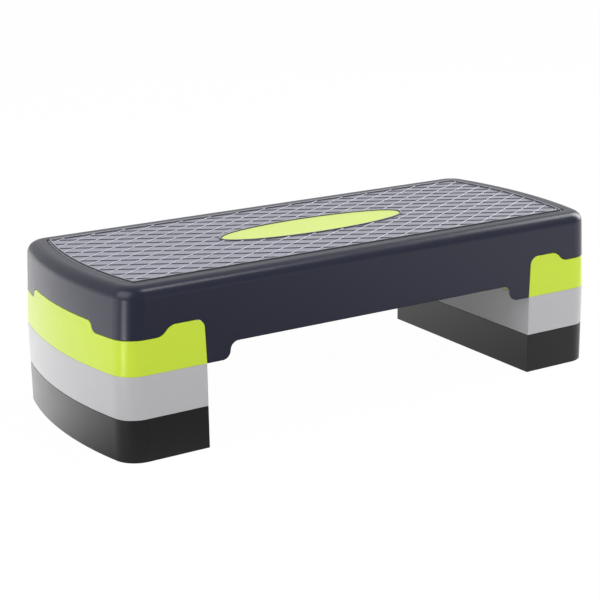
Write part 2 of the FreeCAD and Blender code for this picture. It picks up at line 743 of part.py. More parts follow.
pieces = [make_deck(), make_mat(), make_badge()]
right_hand = [
    make_leg("leg_right"),
    make_riser("upper_riser_right", UPPER_RIM, socketed=True),
    make_riser("lower_riser_right", LOWER_RIM, socketed=False),
    make_screws("leg_screws_right"),
]
for right in right_hand:
    pieces += [right, mirrored_copy(right, right.Label.replace("right", "left"))]
FOOT_NAMES = ("front_inner", "back_inner", "front_outer", "back_outer")
for block, rim in (("leg", LEG_RIM), ("upper_riser", UPPER_RIM), ("lower_riser", LOWER_RIM)):
    for side, sign in (("right", "1"), ("left", "-1")):
        for corner, (across, up) in zip(FOOT_NAMES, FEET):
            pieces.append(make_foot(f"{block}_{side}_foot_{corner}", rim, f"{sign} * {across}", up))

doc.recompute()
for thing in doc.Objects:
    if "Invalid" in thing.State or "Error" in thing.State:
        raise RuntimeError(f"{thing.Label} failed: {thing.State}")
os.makedirs("parts", exist_ok=True)
for piece in pieces:
    if piece.Shape.isNull() or not piece.Shape.isValid():
        raise RuntimeError(f"{piece.Label} has no sound shape")
for piece in pieces:
    piece.Shape.exportStep(f"parts/{piece.Label}.step")
    print(piece.Label, len(piece.Shape.Solids), round(piece.Shape.Volume))
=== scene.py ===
"""Looks of an aerobic step platform: its finishes, ribbed tread, badge plate, feet and studio.

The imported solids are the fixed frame, in metres, with +X along the platform, -Y its near side and
+Z up.
"""

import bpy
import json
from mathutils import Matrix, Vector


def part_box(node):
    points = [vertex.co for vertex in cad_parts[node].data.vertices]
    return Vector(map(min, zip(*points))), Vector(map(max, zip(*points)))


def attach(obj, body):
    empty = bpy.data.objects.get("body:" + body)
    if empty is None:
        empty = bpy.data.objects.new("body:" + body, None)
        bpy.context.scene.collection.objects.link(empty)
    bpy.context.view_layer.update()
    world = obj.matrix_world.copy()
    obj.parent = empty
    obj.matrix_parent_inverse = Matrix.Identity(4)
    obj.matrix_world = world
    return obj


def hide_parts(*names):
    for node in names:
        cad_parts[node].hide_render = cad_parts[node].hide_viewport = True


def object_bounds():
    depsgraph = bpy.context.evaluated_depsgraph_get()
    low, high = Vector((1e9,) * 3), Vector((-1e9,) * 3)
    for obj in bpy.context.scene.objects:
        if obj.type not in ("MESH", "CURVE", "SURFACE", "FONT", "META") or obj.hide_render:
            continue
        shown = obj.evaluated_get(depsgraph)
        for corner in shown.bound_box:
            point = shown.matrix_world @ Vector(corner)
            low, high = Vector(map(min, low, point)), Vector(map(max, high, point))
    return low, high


bl_info = {
    "name": "Step Platform Looks",
    "version": (1, 0, 0),
    "blender": (4, 5, 0),
    "location": "View3D > Sidebar > Step Platform",
    "description": "Gives the step platform its tread, badge plate, feet, finishes and studio",
    "category": "Object",
}

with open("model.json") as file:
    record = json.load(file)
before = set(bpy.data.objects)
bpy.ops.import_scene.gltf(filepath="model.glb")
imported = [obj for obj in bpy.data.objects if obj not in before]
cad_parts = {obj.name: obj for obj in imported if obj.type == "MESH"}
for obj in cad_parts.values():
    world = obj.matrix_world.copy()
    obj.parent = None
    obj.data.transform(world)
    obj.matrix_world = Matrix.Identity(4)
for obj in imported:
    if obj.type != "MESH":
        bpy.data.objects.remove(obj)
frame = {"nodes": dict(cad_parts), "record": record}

import json
import math

import bmesh
import bpy
from bpy.props import FloatProperty, FloatVectorProperty, IntProperty, PointerProperty
from bpy.types import Operator, Panel, PropertyGroup
from mathutils import Matrix, Vector

CAD_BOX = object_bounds()
MAT_LOW, MAT_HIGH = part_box("tread_mat")
BADGE_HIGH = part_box("badge_plate")[1]
WHITE = (1.0, 1.0, 1.0, 1.0)
QUARTER_TURN = math.pi / 2


# Settings

def length(name, description, default):
    return FloatProperty(
        name=name, description=description, default=default, unit="LENGTH", precision=5)


def share(name, description, default):
    return FloatProperty(
        name=name, description=description, default=default, min=0.0, max=1.0, subtype="FACTOR")


def angle(name, description, degrees):
    return FloatProperty(
        name=name, description=description, default=math.radians(degrees), subtype="ANGLE")


def colour(name, description, default):
    return FloatVectorProperty(
        name=name, description=description, default=default, size=3, min=0.0, max=1.0,
        subtype="COLOR")


def brightness(name, description, default):
    return FloatProperty(name=name, description=description, default=default, min=0.0)


def power(name, description, default):
    return FloatProperty(
        name=name, description=description, default=default, min=0.0, subtype="POWER")


class MouldedFinish:
    """What every moulded plastic piece of the platform can have set."""

    roughness: share("Roughness", "Mean roughness of the moulded skin", 0.3)
    gloss: share("Gloss", "Specular level of the plastic, where 0.5 is a clear polished one", 0.42)
    grain_depth: length("Grain depth", "Depth of the mould's fine spark grain", 0.00002)
    edge_soften: length("Edge soften", "Radius that the finish gives to sharp edges", 0.0009)
    mottle: share("Mottle", "How far the pigment drifts from its mean", 0.02)


class DeckFinish(MouldedFinish, PropertyGroup):
    colour: colour("Colour", "Blue-black pigment of the deck", (0.013, 0.0148, 0.032))


class LegFinish(MouldedFinish, PropertyGroup):
    colour: colour("Colour", "Lime pigment of the fixed legs", (0.51, 0.66, 0.031))


class UpperRiserFinish(MouldedFinish, PropertyGroup):
    colour: colour("Colour", "Light grey pigment of the upper risers", (0.42, 0.42, 0.435))


class LowerRiserFinish(MouldedFinish, PropertyGroup):
    colour: colour("Colour", "Black pigment of the lower risers", (0.0085, 0.0085, 0.0088))


class TreadSettings(PropertyGroup):
    diamond_length: length("Diamond length", "Long diagonal of a diamond of the lattice", 0.0404)
    diamond_width: length("Diamond width", "Short diagonal of a diamond of the lattice", 0.0235)
    lattice_start: FloatVectorProperty(
        name="Lattice start", description="One crossing of the lattice, from the middle of the mat",
        default=(0.0094, 0.0036), size=2, unit="LENGTH", precision=5)
    shortest_rib: length("Shortest rib", "Ribs up to this length are left out", 0.0046)
    field_depth: length("Field depth", "How far the field lies under the solid's top", 0.0015)
    tall_side: length("Tall side", "How far a ridge's tall flank lies from its line", 0.0004)
    low_side: length("Low side", "How far the low flank lies on the line's other side", 0.0015)
    rib_tall: length("Rib tall flank", "Tall flank of a rib, half of it over the field", 0.0032)
    rib_low: length("Rib low flank", "Low flank of a rib, half of it over the field", 0.0016)
    lip_tall: length("Lip tall flank", "Tall flank of an edge lip, half over the field", 0.0046)
    lip_low: length("Lip low flank", "Low flank of an edge lip, half over the field", 0.0038)
    lip_inset: length("Lip inset", "How far a lip's line lies in from the sheet's edge", 0.0023)
    rib_step: length("Rib step", "How far pale ribs lie under lips, and dark under pale", 0.00006)
    edge_round: length("Edge round", "Rounding of the ribs and lips", 0.0005)
    end_bow: length("End bow", "Radius of the mat's bowed ends", 0.501)
    corner: length("Corner", "Radius of the mat's corners", 0.006)
    edge_gap: length("Edge gap", "How far the sheet's edge stands in from the solid's", 0.0008)
    badge_gap: length("Badge gap", "Gap between the mat and the badge plate", 0.0008)
    field: colour("Field", "Colour of the sunk field", (0.305, 0.305, 0.365))
    # colour of the painted highlight on ridge tops
    crest: colour("Crest", "Colour of the ribs rubbed pale", (0.47, 0.47, 0.53))
    # share of the field's colour left on steep walls under painted shade
    dirt: share("Shade", "How much of the field's colour is left on dirty walls", 0.18)
    roughness: share("Roughness", "Mean roughness of the rubber", 0.46)
    gloss: share("Gloss", "Specular level of the rubber", 0.75)


class BadgeSettings(PropertyGroup):
    colour: colour("Colour", "Lime pigment of the badge plate", (0.63, 0.77, 0.18))
    crown: length("Crown", "How much lower the plate's edge is than its middle", 0.00015)
    edge_round: length("Edge round", "Rounding of the plate's edge", 0.0008)
    roughness: share("Roughness", "Mean roughness of the plate", 0.36)
    steps: IntProperty(name="Steps", description="Sides of the oval", default=128, min=24)


class FootSettings(PropertyGroup):
    colour: colour("Colour", "Colour of the feet's rubber", (0.022, 0.022, 0.024))
    steel: colour("Steel", "Colour of the zinc-plated screws", (0.55, 0.55, 0.57))
    dish: length("Dish", "How far the middle of a foot's sole is dished", 0.0003)
    steps: IntProperty(name="Steps", description="Sides of a foot", default=32, min=12)


class StageSettings(PropertyGroup):
    camera_place: FloatVectorProperty(
        name="Camera place", description="Where the camera stands",
        default=(-0.96907, -1.53234, 0.6294), size=3, subtype="TRANSLATION", unit="LENGTH")
    camera_turn: angle("Camera turn", "Direction of the view in plan", -31.741)
    camera_rise: angle("Camera rise", "Height angle of the view", 16.228)
    camera_roll: angle("Camera roll", "Lean of the camera", -0.807)
    lens: FloatProperty(
        name="Lens", description="Focal length on a 36 mm sensor, in millimetres",
        default=89.587, min=1.0)
    floor_span: length("Floor span", "Side of the square floor", 16.0)
    floor_white: share("Floor white", "How much of the floor's look is plain white", 0.985)
    floor_matte: share("Floor matte", "How light the floor's own shading is", 0.92)
    surroundings: brightness("Surroundings", "Strength of the light from all round", 0.46)
    backdrop: share("Backdrop", "Brightness of the studio's far side in reflections", 0.72)
    near_side: share("Near side", "Brightness of the studio's near side in reflections", 0.3)
    floor_front: brightness("Floor in front", "Brightness of the near floor in reflections", 0.28)
    floor_right: brightness("Floor on the right", "The same for the floor on the right", 0.95)
    floor_behind: brightness("Floor behind", "The same for the floor behind the object", 1.5)
    floor_left: brightness("Floor on the left", "The same for the floor by the left end", 1.9)
    floor_streak: brightness("Floor streak", "Extra for the lit strip of floor on the left", 9.0)
    key_power: power("Key power", "Power of the large soft light on the left", 37.0)
    fill_power: power("Fill power", "Power of the wide soft light at the front right", 29.5)
    side_power: power("Side power", "Power of the tall soft light on the right", 54.0)
    top_power: power("Top power", "Power of the small light above", 6.5)


class StepPlatformSettings(PropertyGroup):
    deck: PointerProperty(type=DeckFinish)
    leg: PointerProperty(type=LegFinish)
    upper_riser: PointerProperty(type=UpperRiserFinish)
    lower_riser: PointerProperty(type=LowerRiserFinish)
    tread: PointerProperty(type=TreadSettings)
    badge: PointerProperty(type=BadgeSettings)
    foot: PointerProperty(type=FootSettings)
    stage: PointerProperty(type=StageSettings)


def settings():
    return bpy.context.scene.step_platform


# Node helpers

def add_node(tree, kind, values=None, **options):
    """Add a node, set its options, and set or link its inputs by their identifiers."""
    node = tree.nodes.new(kind)
    for name, value in options.items():
        setattr(node, name, value)
    for key, value in (values or {}).items():
        socket = next(item for item in node.inputs if item.identifier == key)
        if isinstance(value, bpy.types.NodeSocket):
            tree.links.new(value, socket)
        else:
            socket.default_value = value
    return node


def output(node, key):
    return next(item for item in node.outputs if item.identifier == key)


def along(tree, vector, axis):
    return output(add_node(tree, "ShaderNodeSeparateXYZ", {"Vector": vector}), axis)


def mix_colours(tree, factor, first, second):
    values = {"Factor_Float": factor, "A_Color": first, "B_Color": second}
    return output(add_node(tree, "ShaderNodeMix", values, data_type="RGBA"), "Result_Color")


def mix_numbers(tree, factor, first, second):
    values = {"Factor_Float": factor, "A_Float": first, "B_Float": second}
    return output(add_node(tree, "ShaderNodeMix", values, data_type="FLOAT"), "Result_Float")


def calculate(tree, operation, first, second):
    values = {"Value": first, "Value_001": second}
    return add_node(tree, "ShaderNodeMath", values, operation=operation).outputs[0]


def ramp(tree, value, start, full):
    """Nought on the near side of start, one beyond full, and smooth between them."""
    values = {"Value": value, "From Min": start, "From Max": full}
    return add_node(
        tree, "ShaderNodeMapRange", values, interpolation_type="SMOOTHSTEP").outputs[0]


def noise(tree, place, pattern):
    scale, detail = pattern
    values = {"Vector": place, "Scale": scale, "Detail": detail}
    return output(add_node(tree, "ShaderNodeTexNoise", values), "Fac")


def tinted(base, factor):
    """A colour made lighter or darker, with its alpha."""
    return tuple(min(1.0, part * factor) for part in base) + (1.0,)


def empty_tree(owner):
    """The node tree of a material or world, with nothing in it."""
    owner.use_nodes = True
    owner.node_tree.nodes.clear()
    return owner.node_tree


def new_material(name):
    """A material with its shader alone, and the place on the piece that its patterns read."""
    material = bpy.data.materials.new(name)
    tree = empty_tree(material)
    shader = add_node(tree, "ShaderNodeBsdfPrincipled")
    add_node(tree, "ShaderNodeOutputMaterial", {"Surface": shader.outputs[0]})
    place = output(add_node(tree, "ShaderNodeTexCoord"), "Object")
    return material, tree, shader, place


def dress(tree, shader, pigment, roughness, skin):
    """Give a shader its pigment, its roughness and the bump of its skin."""
    bump = add_node(tree, "ShaderNodeBump", skin).outputs[0]
    for key, value in (("Base Color", pigment), ("Roughness", roughness), ("Normal", bump)):
        tree.links.new(value, shader.inputs[key])


# Finishes

# A pattern below is a noise's cells to a metre and its detail. A spread holds the values of a
# pattern at which its marks begin and at which they are full. Depths are in metres.

# moulded plastic
PIGMENT_DRIFT = (9.0, 3.0)
HANDLING = (38.0, 4.0)
HANDLING_SPREAD = (0.35, 0.75)
HANDLING_SMOOTHS = 0.01
HANDLING_ROUGHENS = 0.02
SCUFF = (85.0, 5.0)
SCUFF_SPREAD = (0.42, 0.62)
SCUFF_STRENGTH = 0.35
SCUFF_PALER = 1.6
SCUFF_ROUGHNESS = 0.55
SPARK_GRAIN = (1500.0, 2.0)
SPARK_STRENGTH = 0.12
EDGE_SAMPLES = 8

# how far from a rim its scuffs begin and are full, in metres
SCUFF_START = 0.0011
SCUFF_FULL = 0.0003


def moulded_plastic(name, finish, rims=()):
    """Satin moulded plastic: drifting pigment, spark grain, handling marks and scuffed rims."""
    material, tree, shader, place = new_material(name)
    base = tuple(finish.colour)
    shader.inputs["Specular IOR Level"].default_value = finish.gloss
    drift = noise(tree, place, PIGMENT_DRIFT)
    pigment = mix_colours(
        tree, drift, tinted(base, 1 - finish.mottle), tinted(base, 1 + finish.mottle))
    handled = ramp(tree, noise(tree, place, HANDLING), *HANDLING_SPREAD)
    roughness = mix_numbers(
        tree, handled, finish.roughness - HANDLING_SMOOTHS, finish.roughness + HANDLING_ROUGHENS)
    height = along(tree, place, "Z")
    for low, high in rims:
        near_low = ramp(tree, height, low + SCUFF_START, low + SCUFF_FULL)
        near_high = ramp(tree, height, high - SCUFF_START, high - SCUFF_FULL)
        near = calculate(tree, "MAXIMUM", near_low, near_high)
        scuffs = ramp(tree, noise(tree, place, SCUFF), *SCUFF_SPREAD)
        wear_and_highlight = calculate(tree, "MULTIPLY", near, scuffs)
        wear_and_highlight = calculate(tree, "MULTIPLY", wear_and_highlight, SCUFF_STRENGTH)
        pigment = mix_colours(tree, wear_and_highlight, pigment, tinted(base, SCUFF_PALER))
        roughness = mix_numbers(tree, wear_and_highlight, roughness, SCUFF_ROUGHNESS)
    soft_edges = add_node(
        tree, "ShaderNodeBevel", {"Radius": finish.edge_soften}, samples=EDGE_SAMPLES).outputs[0]
    skin = {"Height": noise(tree, place, SPARK_GRAIN), "Distance": finish.grain_depth,
            "Strength": SPARK_STRENGTH, "Normal": soft_edges}
    dress(tree, shader, pigment, roughness, skin)
    return material


# what a path of the tread is swept into
SHEET, PALE_RIB, DARK_RIB, LIP = 0, 1, 2, 3

# how far each kind of ridge's top is painted pale as a highlight and made smoother, kept on
# its mesh; the steep walls of those under the limit, and of the sheet, get painted shade
RUBBED_AND_LIT_NAME = "rubbed"
RUBBED_AND_LIT = {PALE_RIB: 1.0, DARK_RIB: -1.0, LIP: 0.3}
SHADED_UNDER = 0.5

# upward parts of the normal between which a wall's painted shade begins and is full
SHADE_SPREAD = (0.85, 0.6)

# shares of the field's depth, from the solid's top down, between which a ridge's top
# is painted pale as a highlight and made smoother
CROWN_START = 0.8
CROWN_FULL = 0.3

# tread rubber
RUBBED_PATCHES = (30.0, 4.0)
RUBBED_SPREAD = (0.1, 0.6)
LEAST_RUBBED = 0.7
RUBBED_SMOOTHS = 0.1
RUBBER_DRIFT = (14.0, 4.0)
RUBBER_DARKEST = 0.9
RUBBER_PALEST = 1.1
PEBBLES = 1100.0
PEBBLE_SMOOTHNESS = 0.6
PEBBLE_DEPTH = 0.00006
FIELD_PEBBLING = 0.4
RUBBED_PEBBLING = 0.05


def tread_rubber(tread):
    """Anti-slip rubber: pebbled field, smoother ridge tops with painted highlight, steep walls with
    painted shade.
    """
    material, tree, shader, place = new_material("tread rubber")
    shader.inputs["Specular IOR Level"].default_value = tread.gloss
    start = MAT_HIGH.z - CROWN_START * tread.field_depth
    full = MAT_HIGH.z - CROWN_FULL * tread.field_depth
    crown = ramp(tree, along(tree, place, "Z"), start, full)
    # each kind of ridge carries its share of painted highlight on top and of painted shade on its
    # walls
    rubbed = output(add_node(tree, "ShaderNodeAttribute", attribute_name=RUBBED_AND_LIT_NAME), "Fac")
    wear_and_highlight = calculate(tree, "MULTIPLY", crown, calculate(tree, "MAXIMUM", rubbed, 0.0))
    patches = ramp(tree, noise(tree, place, RUBBED_PATCHES), *RUBBED_SPREAD)
    wear_and_highlight = calculate(tree, "MULTIPLY", wear_and_highlight, mix_numbers(tree, patches, LEAST_RUBBED, 1.0))
    facing = output(add_node(tree, "ShaderNodeNewGeometry"), "Normal")
    # painted shade: steep walls of the dark ribs, the lips and the sheet are darkened by their
    # slope
    steep = ramp(tree, along(tree, facing, "Z"), *SHADE_SPREAD)
    takes_shade = calculate(tree, "LESS_THAN", rubbed, SHADED_UNDER)
    shaded = calculate(tree, "MULTIPLY", takes_shade, steep)
    drift = noise(tree, place, RUBBER_DRIFT)
    pigment = mix_colours(
        tree, drift, tinted(tread.field, RUBBER_DARKEST), tinted(tread.field, RUBBER_PALEST))
    # painted highlight: ridge tops turned pale towards the crest colour, in patches
    pigment = mix_colours(tree, wear_and_highlight, pigment, tinted(tread.crest, 1.0))
    # painted shade mixed into the pigment of those walls
    pigment = mix_colours(tree, shaded, pigment, tinted(tread.field, tread.dirt))
    roughness = mix_numbers(tree, wear_and_highlight, tread.roughness, tread.roughness - RUBBED_SMOOTHS)
    cells = {"Vector": place, "Scale": PEBBLES, "Smoothness": PEBBLE_SMOOTHNESS}
    pebbles = add_node(tree, "ShaderNodeTexVoronoi", cells, feature="SMOOTH_F1")
    skin = {"Height": pebbles.outputs["Distance"], "Distance": PEBBLE_DEPTH,
            "Strength": mix_numbers(tree, wear_and_highlight, FIELD_PEBBLING, RUBBED_PEBBLING)}
    dress(tree, shader, pigment, roughness, skin)
    return material


# badge plastic
BADGE_GLOSS = 0.4
BADGE_DRIFT = (18.0, 3.0)
BADGE_DARKEST = 0.96
BADGE_PALEST = 1.04
BADGE_HANDLING = (60.0, 4.0)
BADGE_HANDLING_SPREAD = (0.3, 0.75)
BADGE_SMOOTHS = 0.04
BADGE_ROUGHENS = 0.08
ORANGE_PEEL = (420.0, 2.0)
ORANGE_PEEL_DEPTH = 0.00004
ORANGE_PEEL_STRENGTH = 0.4


def badge_plastic(badge):
    """Smooth lime plastic with a faint orange-peel skin."""
    material, tree, shader, place = new_material("badge plastic")
    shader.inputs["Specular IOR Level"].default_value = BADGE_GLOSS
    base = tuple(badge.colour)
    drift = noise(tree, place, BADGE_DRIFT)
    pigment = mix_colours(tree, drift, tinted(base, BADGE_DARKEST), tinted(base, BADGE_PALEST))
    handled = ramp(tree, noise(tree, place, BADGE_HANDLING), *BADGE_HANDLING_SPREAD)
    roughness = mix_numbers(
        tree, handled, badge.roughness - BADGE_SMOOTHS, badge.roughness + BADGE_ROUGHENS)
    skin = {"Height": noise(tree, place, ORANGE_PEEL), "Distance": ORANGE_PEEL_DEPTH,
            "Strength": ORANGE_PEEL_STRENGTH}
    dress(tree, shader, pigment, roughness, skin)
    return material


# foot rubber
FOOT_GLOSS = 0.3
DUST_BLOOM = (160.0, 5.0)
DUST_SPREAD = (0.45, 0.8)
DUST_PALER = 1.9
CLEAN_RUBBER_ROUGHNESS = 0.62
DUSTY_RUBBER_ROUGHNESS = 0.8
FOOT_GRAIN = (2200.0, 2.0)
FOOT_GRAIN_DEPTH = 0.00003
FOOT_GRAIN_STRENGTH = 0.5


def foot_rubber(foot):
    """Matte black rubber with a bloom of dust."""
    material, tree, shader, place = new_material("foot rubber")
    shader.inputs["Specular IOR Level"].default_value = FOOT_GLOSS
    bloom = ramp(tree, noise(tree, place, DUST_BLOOM), *DUST_SPREAD)
    pigment = mix_colours(tree, bloom, tinted(foot.colour, 1.0), tinted(foot.colour, DUST_PALER))
    roughness = mix_numbers(tree, bloom, CLEAN_RUBBER_ROUGHNESS, DUSTY_RUBBER_ROUGHNESS)
    skin = {"Height": noise(tree, place, FOOT_GRAIN), "Distance": FOOT_GRAIN_DEPTH,
            "Strength": FOOT_GRAIN_STRENGTH}
    dress(tree, shader, pigment, roughness, skin)
    return material


# zinc plate
ZINC_CLOUD = (420.0, 4.0)
ZINC_DARKEST = 0.85
ZINC_PALEST = 1.1
BRIGHT_ZINC_ROUGHNESS = 0.25
DULL_ZINC_ROUGHNESS = 0.42
ZINC_GRAIN = (2600.0, 2.0)
ZINC_GRAIN_DEPTH = 0.00002
ZINC_GRAIN_STRENGTH = 0.4


def zinc_steel(foot):
    """Bright zinc plate with a clouded, finely grained skin."""
    material, tree, shader, place = new_material("zinc steel")
    shader.inputs["Metallic"].default_value = 1.0
    cloud = noise(tree, place, ZINC_CLOUD)
    pigment = mix_colours(
        tree, cloud, tinted(foot.steel, ZINC_DARKEST), tinted(foot.steel, ZINC_PALEST))
    roughness = mix_numbers(tree, cloud, BRIGHT_ZINC_ROUGHNESS, DULL_ZINC_ROUGHNESS)
    skin = {"Height": noise(tree, place, ZINC_GRAIN), "Distance": ZINC_GRAIN_DEPTH,
            "Strength": ZINC_GRAIN_STRENGTH}
    dress(tree, shader, pigment, roughness, skin)
    return material


def paint(nodes, material):
    """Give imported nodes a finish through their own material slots."""
    for name in nodes:
        for slot in frame["nodes"][name].material_slots:
            slot.material = material


# Mesh helpers

WELD_DISTANCE = 1e-7


def new_object(name, data):
    made = bpy.data.objects.new(name, data)
    bpy.context.scene.collection.objects.link(made)
    return made


def clean(mesh, sharp_angle):
    """Weld a mesh, turn its faces outwards, and shade it smooth up to an angle."""
    form = bmesh.new()
    form.from_mesh(mesh)
    bmesh.ops.remove_doubles(form, verts=form.verts, dist=WELD_DISTANCE)
    bmesh.ops.recalc_face_normals(form, faces=form.faces)
    for face in form.faces:
        face.smooth = True
    for edge in form.edges:
        edge.smooth = edge.calc_face_angle(0.0) < sharp_angle
    form.to_mesh(mesh)
    form.free()


def oval_loop(half_length, half_width, steps):
    turns = (math.tau * step / steps for step in range(steps))
    return [Vector((half_length * math.cos(turn), half_width * math.sin(turn))) for turn in turns]


def stacked_ovals(name, rings, steps):
    """A closed mesh through level ovals, each given by its half length, half width and height."""
    form = bmesh.new()
    loops = []
    for half_length, half_width, height in rings:
        points = oval_loop(half_length, half_width, steps)
        loops.append([form.verts.new((point.x, point.y, height)) for point in points])
    for lower, upper in zip(loops, loops[1:]):
        for step in range(steps):
            after = (step + 1) % steps
            form.faces.new((lower[step], lower[after], upper[after], upper[step]))
    form.faces.new(loops[-1])
    form.faces.new(reversed(loops[0]))
    mesh = bpy.data.meshes.new(name)
    form.to_mesh(mesh)
    form.free()
    return mesh


def new_tree(name, inputs):
    """An empty geometry node tree with named inputs, its input node and its output node."""
    tree = bpy.data.node_groups.new(name, "GeometryNodeTree")
    tree.interface.new_socket("Geometry", in_out="INPUT", socket_type="NodeSocketGeometry")
    for label, kind in inputs.items():
        tree.interface.new_socket(label, in_out="INPUT", socket_type=kind)
    tree.interface.new_socket("Geometry", in_out="OUTPUT", socket_type="NodeSocketGeometry")
    return tree, tree.nodes.new("NodeGroupInput"), tree.nodes.new("NodeGroupOutput")


def close_tree(tree, group_in, group_out, geometry):
    """End a tree in real geometry with its material."""
    real = add_node(tree, "GeometryNodeRealizeInstances", {"Geometry": geometry}).outputs[0]
    values = {"Geometry": real, "Material": group_in.outputs["Material"]}
    coated = add_node(tree, "GeometryNodeSetMaterial", values).outputs[0]
    tree.links.new(coated, group_out.inputs[0])


def grow(name, source, tree, values):
    """Run a tree on a source mesh and return the result as a plain mesh piece."""
    piece = new_object(name, source)
    modifier = piece.modifiers.new(tree.name, "NODES")
    modifier.node_group = tree
    for item in tree.interface.items_tree:
        if item.in_out == "INPUT" and item.name in values:
            modifier[item.identifier] = values[item.name]
    grown = piece.evaluated_get(bpy.context.evaluated_depsgraph_get())
    shape = bpy.data.meshes.new_from_object(grown)
    piece.modifiers.remove(modifier)
    piece.data = shape
    return piece


# Tread

CORNER_STEPS = 8
END_BOW_STEPS = 40
RIDGE_ROUND_STEPS = 3
TREAD_SHARP = math.radians(40)

# the two families of ribs: which way each slants over the mat, and by how many steps it is sunk
FAMILIES = ((PALE_RIB, 1, 1), (DARK_RIB, -1, 2))


def arc(centre, radius, start, finish, steps):
    """Points along an arc, without its last one."""
    turns = (start + (finish - start) * step / steps for step in range(steps))
    return [centre + radius * Vector((math.cos(turn), math.sin(turn))) for turn in turns]


def mat_loop(tread, inset):
    """The mat's outline moved inwards: straight sides, bowed ends and rounded corners."""
    half_length = MAT_HIGH.x - inset
    half_width = MAT_HIGH.y - inset
    bow = tread.end_bow - inset
    corner = max(tread.corner - inset, tread.edge_round)
    bow_centre = Vector((half_length - bow, 0.0))
    rise = half_width - corner
    lean = math.asin(rise / (bow - corner))
    corner_centre = bow_centre + (bow - corner) * Vector((math.cos(lean), math.sin(lean)))
    lower_centre = Vector((corner_centre.x, -corner_centre.y))
    end = arc(lower_centre, corner, -QUARTER_TURN, -lean, CORNER_STEPS)
    end += arc(bow_centre, bow, -lean, lean, END_BOW_STEPS)
    end += arc(corner_centre, corner, lean, QUARTER_TURN, CORNER_STEPS)
    end.append(corner_centre + Vector((0.0, corner)))
    return end + [-point for point in end]


def crossings(start, direction, loop):
    """How far along a line from start it crosses a closed loop, in order."""
    found = []
    for first, last in zip(loop, loop[1:] + loop[:1]):
        side = last - first
        slant = direction.cross(side)
        if slant and 0 <= (first - start).cross(direction) / slant < 1:
            found.append((first - start).cross(side) / slant)
    return sorted(found)


def lattice(tread, rim, ring):
    """Every straight rib's kind, sink and ends, in the rim or at the badge's ring."""
    slope = tread.diamond_width / tread.diamond_length
    rows = math.ceil((MAT_HIGH.y + MAT_HIGH.x * slope) / tread.diamond_width) + 1
    for kind, sign, sunk in FAMILIES:
        direction = Vector((tread.diamond_length, sign * tread.diamond_width)).normalized()
        for row in range(-rows, rows + 1):
            start = Vector(tread.lattice_start) + Vector((0.0, row * tread.diamond_width))
            ends = crossings(start, direction, rim)
            if len(ends) < 2:
                continue
            hole = crossings(start, direction, ring)
            spans = [ends]
            if len(hole) == 2:
                spans = [(ends[0], hole[0]), (hole[1], ends[1])]
            for near, far in spans:
                if far - near > tread.shortest_rib:
                    sink = sunk * tread.rib_step
                    yield kind, sink, start + near * direction, start + far * direction


def tread_paths(tread):
    """A mesh of bare edges: the sheet's two outlines, the lips beside them and every rib's line."""
    points, edges, kinds = [], [], []

    def add_path(path, height, kind, closed):
        first = len(points)
        points.extend((point.x, point.y, height) for point in path)
        edges.extend((first + step, first + step + 1) for step in range(len(path) - 1))
        if closed:
            edges.append((len(points) - 1, first))
        kinds.extend([kind] * (len(edges) - len(kinds)))

    field = MAT_HIGH.z - tread.field_depth
    window_length = BADGE_HIGH.x + tread.badge_gap
    window_width = BADGE_HIGH.y + tread.badge_gap
    inset = tread.lip_inset
    steps = settings().badge.steps
    rim = mat_loop(tread, tread.edge_gap + inset)
    ring = oval_loop(window_length + inset, window_width + inset, steps)
    add_path(mat_loop(tread, tread.edge_gap), MAT_LOW.z, SHEET, True)
    add_path(oval_loop(window_length, window_width, steps), MAT_LOW.z, SHEET, True)
    add_path(rim, field, LIP, True)
    add_path(ring, field, LIP, True)
    for kind, sink, near, far in lattice(tread, rim, ring):
        add_path([near, far], field - sink, kind, False)
    mesh = bpy.data.meshes.new("tread paths")
    mesh.from_pydata(points, edges, [])
    mesh.attributes.new("sweep", "INT", "EDGE").data.foreach_set("value", kinds)
    return mesh


